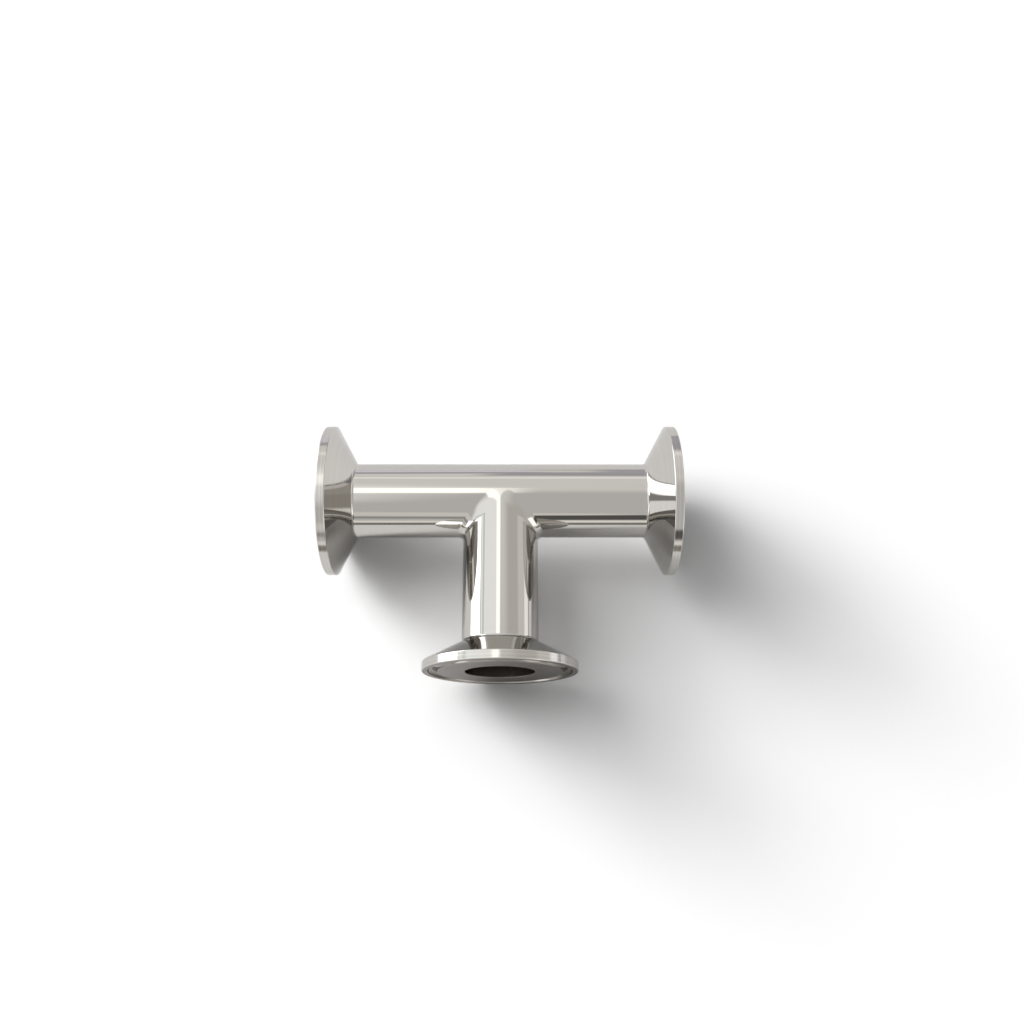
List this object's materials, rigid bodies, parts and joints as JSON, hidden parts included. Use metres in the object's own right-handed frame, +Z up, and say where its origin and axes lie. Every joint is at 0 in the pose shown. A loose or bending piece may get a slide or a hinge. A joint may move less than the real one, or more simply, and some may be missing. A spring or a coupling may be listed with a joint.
{
  "type": "sanitary clamp tee",
  "caption": "Equal hygienic pipe tee with a clamp ferrule on each port: grooved gasket face, thin rim and coned back, polished steel tube.",
  "frame": {"origin": "where the axes of the run and the branch cross, in the middle of the run bore", "axes": "+X along the run towards the right run port, -Y along the branch towards the branch port, +Z up; the tee lies on its three flange rims"},
  "size_m": [0.1166, 0.0836, 0.0506],
  "materials": {
    "polished_stainless": "mirror-polished stainless steel tube",
    "turned_stainless": "stainless steel, polished cone with a fine turned rim and sealing face"
  },
  "bodies": {
    "root": {"tee_body": "polished_stainless", "left_run_ferrule": "turned_stainless", "right_run_ferrule": "turned_stainless", "branch_ferrule": "turned_stainless"}
  },
  "joints": []
}
